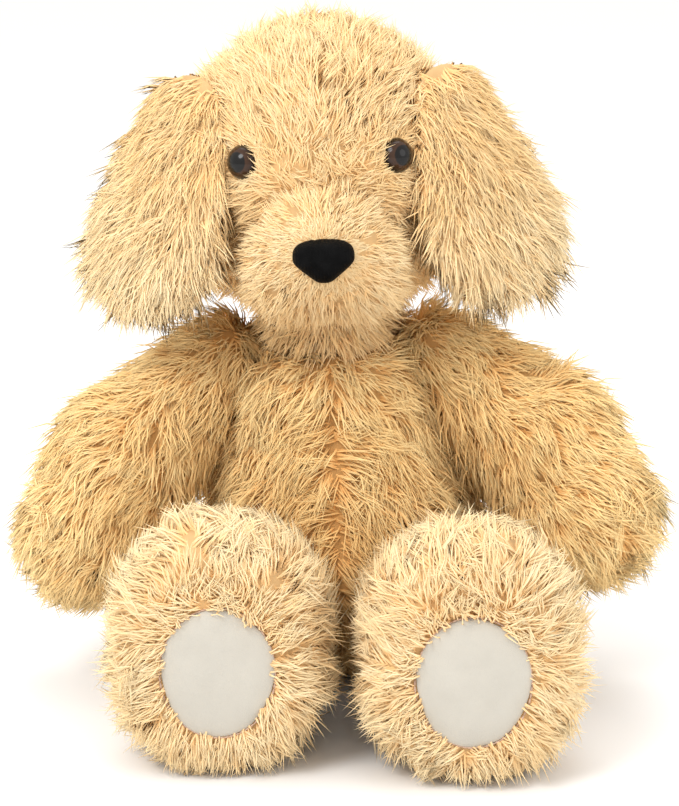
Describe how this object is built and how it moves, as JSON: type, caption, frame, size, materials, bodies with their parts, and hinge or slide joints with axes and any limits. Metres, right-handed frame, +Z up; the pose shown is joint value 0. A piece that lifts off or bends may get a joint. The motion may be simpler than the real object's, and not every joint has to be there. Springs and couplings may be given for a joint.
{
  "type": "sitting plush dog",
  "caption": "Sitting plush dog with a turning head, hanging ears, sewn-on arms and legs that swing and splay, domed eyes, a fabric nose and oval sole pads.",
  "frame": {"origin": "on the floor at the middle of the seat", "axes": "+Z up, -Y the way the dog faces, +X towards the dog's own left side"},
  "size_m": [0.2628, 0.2735, 0.2738],
  "materials": {
    "golden_plush": "long tousled pile",
    "cream_plush": "long soft pile",
    "pale_plush": "shorter soft pile",
    "ear_lining_plush": "short pile",
    "velour": "short brushed pile",
    "fibre_fill": "loose polyester fibre",
    "sewing_thread": "twisted polyester thread",
    "sole_thread": "twisted polyester thread",
    "nose_fabric": "fine matte knit",
    "pouch_cloth": "plain woven cotton",
    "label_satin": "blank satin ribbon",
    "eye_plastic": "polished, dark brown with a black middle",
    "washer_plastic": "moulded nylon",
    "pellet_plastic": "small smooth beads"
  },
  "bodies": {
    "torso": {"torso_skin": "golden_plush", "torso_stuffing": "fibre_fill", "pellet_pouch": "pouch_cloth", "pellets": "pellet_plastic", "neck_seam": "sewing_thread", "left_shoulder_seam": "sewing_thread", "right_shoulder_seam": "sewing_thread", "left_hip_seam": "sewing_thread", "right_hip_seam": "sewing_thread", "tail_seam": "sewing_thread", "back_stitches": "sewing_thread", "care_label": "label_satin"},
    "neck": {"neck_stuffing": "fibre_fill"},
    "head": {"head_skin": "cream_plush", "head_stuffing": "fibre_fill", "muzzle_skin": "pale_plush", "muzzle_stuffing": "fibre_fill", "nose_cover": "nose_fabric", "nose_padding": "fibre_fill", "left_eye": "eye_plastic", "right_eye": "eye_plastic", "left_eye_washer": "washer_plastic", "right_eye_washer": "washer_plastic"},
    "left_ear": {"left_ear_plush": "cream_plush", "left_ear_lining": "ear_lining_plush"},
    "right_ear": {"right_ear_plush": "cream_plush", "right_ear_lining": "ear_lining_plush"},
    "left_shoulder": {"left_shoulder_stuffing": "fibre_fill"},
    "right_shoulder": {"right_shoulder_stuffing": "fibre_fill"},
    "left_arm": {"left_arm_skin": "golden_plush", "left_arm_stuffing": "fibre_fill"},
    "right_arm": {"right_arm_skin": "golden_plush", "right_arm_stuffing": "fibre_fill"},
    "left_hip": {"left_hip_stuffing": "fibre_fill"},
    "right_hip": {"right_hip_stuffing": "fibre_fill"},
    "left_leg": {"left_leg_skin": "cream_plush", "left_leg_stuffing": "fibre_fill", "left_sole_pad": "velour", "left_sole_seam": "sole_thread"},
    "right_leg": {"right_leg_skin": "cream_plush", "right_leg_stuffing": "fibre_fill", "right_sole_pad": "velour", "right_sole_seam": "sole_thread"},
    "tail": {"tail_skin": "golden_plush", "tail_stuffing": "fibre_fill"}
  },
  "joints": [
    {"name": "head_nod", "type": "hinge", "parent": "torso", "child": "neck", "pos_m": [-0.00646, -0.006, 0.14786], "axis": [1, 0, 0], "range_deg": [-15, 20], "stiffness_Nm_per_rad": 3},
    {"name": "head_turn", "type": "hinge", "parent": "neck", "child": "head", "pos_m": [-0.00646, -0.006, 0.14786], "axis": [0, 0, 1], "range_deg": [-30, 30], "stiffness_Nm_per_rad": 1},
    {"name": "left_ear_lift", "type": "hinge", "parent": "head", "child": "left_ear", "pos_m": [0.03188, -0.029, 0.25563], "axis": [-0.7071, -0.7071, 0], "range_deg": [0, 60]},
    {"name": "left_arm_raise", "type": "hinge", "parent": "torso", "child": "left_shoulder", "pos_m": [0.04029, -0.004, 0.13188], "axis": [0, -1, 0], "range_deg": [0, 25], "stiffness_Nm_per_rad": 0.8},
    {"name": "left_arm_swing", "type": "hinge", "parent": "left_shoulder", "child": "left_arm", "pos_m": [0.04029, -0.004, 0.13188], "axis": [-1, 0, 0], "range_deg": [-20, 70], "stiffness_Nm_per_rad": 0.8},
    {"name": "left_leg_splay", "type": "hinge", "parent": "torso", "child": "left_hip", "pos_m": [0.038, -0.032, 0.04], "axis": [0, 0, 1], "range_deg": [0, 22], "stiffness_Nm_per_rad": 0.8},
    {"name": "left_leg_swing", "type": "hinge", "parent": "left_hip", "child": "left_leg", "pos_m": [0.038, -0.032, 0.04], "axis": [-1, 0, 0], "range_deg": [-33, 20], "stiffness_Nm_per_rad": 0.8},
    {"name": "right_ear_lift", "type": "hinge", "parent": "head", "child": "right_ear", "pos_m": [-0.05404, -0.029, 0.25188], "axis": [-0.7071, 0.7071, 0], "range_deg": [0, 60]},
    {"name": "right_arm_raise", "type": "hinge", "parent": "torso", "child": "right_shoulder", "pos_m": [-0.05163, -0.004, 0.12787], "axis": [0, 1, 0], "range_deg": [0, 25], "stiffness_Nm_per_rad": 0.8},
    {"name": "right_arm_swing", "type": "hinge", "parent": "right_shoulder", "child": "right_arm", "pos_m": [-0.05163, -0.004, 0.12787], "axis": [-1, 0, 0], "range_deg": [-20, 70], "stiffness_Nm_per_rad": 0.8},
    {"name": "right_leg_splay", "type": "hinge", "parent": "torso", "child": "right_hip", "pos_m": [-0.038, -0.032, 0.04], "axis": [0, 0, -1], "range_deg": [0, 22], "stiffness_Nm_per_rad": 0.8},
    {"name": "right_leg_swing", "type": "hinge", "parent": "right_hip", "child": "right_leg", "pos_m": [-0.038, -0.032, 0.04], "axis": [-1, 0, 0], "range_deg": [-33, 20], "stiffness_Nm_per_rad": 0.8},
    {"name": "tail_wag", "type": "hinge", "parent": "torso", "child": "tail", "pos_m": [0, 0.05, 0.027], "axis": [0, 0, 1], "range_deg": [-10, 10], "stiffness_Nm_per_rad": 0.2}
  ]
}
